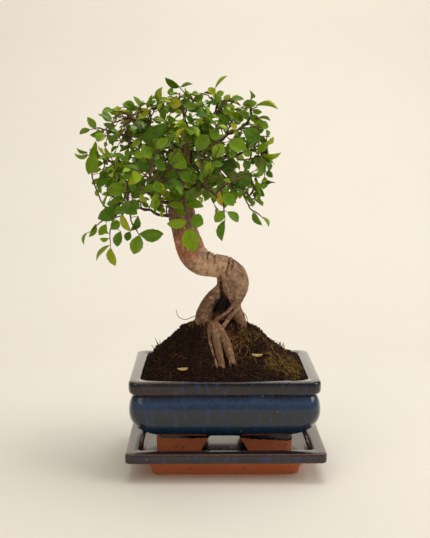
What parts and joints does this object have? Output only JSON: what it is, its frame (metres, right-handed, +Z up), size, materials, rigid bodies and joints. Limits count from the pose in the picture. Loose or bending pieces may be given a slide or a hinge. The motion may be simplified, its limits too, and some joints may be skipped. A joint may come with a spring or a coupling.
{
  "type": "potted bonsai tree",
  "caption": "Small-leaved bonsai tree with a curved trunk on exposed roots, growing from a soil mound in a glazed rectangular footed pot on a matching drip saucer.",
  "frame": {"origin": "middle of the saucer's flat base, on the surface it stands on", "axes": "+Z up along the tree, +X to the right along the pot's long side, -Y towards the front"},
  "size_m": [0.2125, 0.1382, 0.3301],
  "materials": {
    "glaze": "gloss",
    "drain_mesh": "matte",
    "soil": "matte",
    "bark": "matte",
    "twig": "satin",
    "leaf": "satin",
    "chip": "matte"
  },
  "bodies": {
    "root": {"bark_chip_front": "chip", "bark_chip_right": "chip", "branch_back_left": "twig", "branch_back_right": "twig", "branch_far_left": "twig", "branch_front_left": "twig", "branch_front_right": "twig", "branch_low_left": "twig", "branch_mid_left": "twig", "branch_right": "twig", "branch_right_high": "twig", "branch_right_low": "twig", "branch_top": "twig", "branch_top_left": "twig", "branch_top_right": "twig", "branch_upper_left": "twig", "drain_mesh_left": "drain_mesh", "drain_mesh_right": "drain_mesh", "pot": "glaze", "saucer": "glaze", "shoot_back_left_1": "leaf", "shoot_back_right_1": "leaf", "shoot_far_left_1": "leaf", "shoot_far_left_2": "leaf", "shoot_far_left_3": "leaf", "shoot_front_left_1": "leaf", "shoot_front_left_2": "leaf", "shoot_front_right_1": "leaf", "shoot_front_right_2": "leaf", "shoot_low_left_1": "leaf", "shoot_low_left_2": "leaf", "shoot_low_left_3": "leaf", "shoot_low_left_4": "leaf", "shoot_mid_left_1": "leaf", "shoot_mid_left_2": "leaf", "shoot_mid_left_3": "leaf", "shoot_right_1": "leaf", "shoot_right_2": "leaf", "shoot_right_3": "leaf", "shoot_right_high_1": "leaf", "shoot_right_high_2": "leaf", "shoot_right_high_3": "leaf", "shoot_right_low_1": "leaf", "shoot_right_low_2": "leaf", "shoot_right_low_3": "leaf", "shoot_top_1": "leaf", "shoot_top_2": "leaf", "shoot_top_3": "leaf", "shoot_top_left_1": "leaf", "shoot_top_left_2": "leaf", "shoot_top_right_1": "leaf", "shoot_top_right_2": "leaf", "shoot_top_right_3": "leaf", "shoot_trunk_1": "leaf", "shoot_trunk_2": "leaf", "shoot_trunk_3": "leaf", "shoot_upper_left_1": "leaf", "shoot_upper_left_2": "leaf", "soil": "soil", "trunk": "bark"}
  },
  "joints": []
}
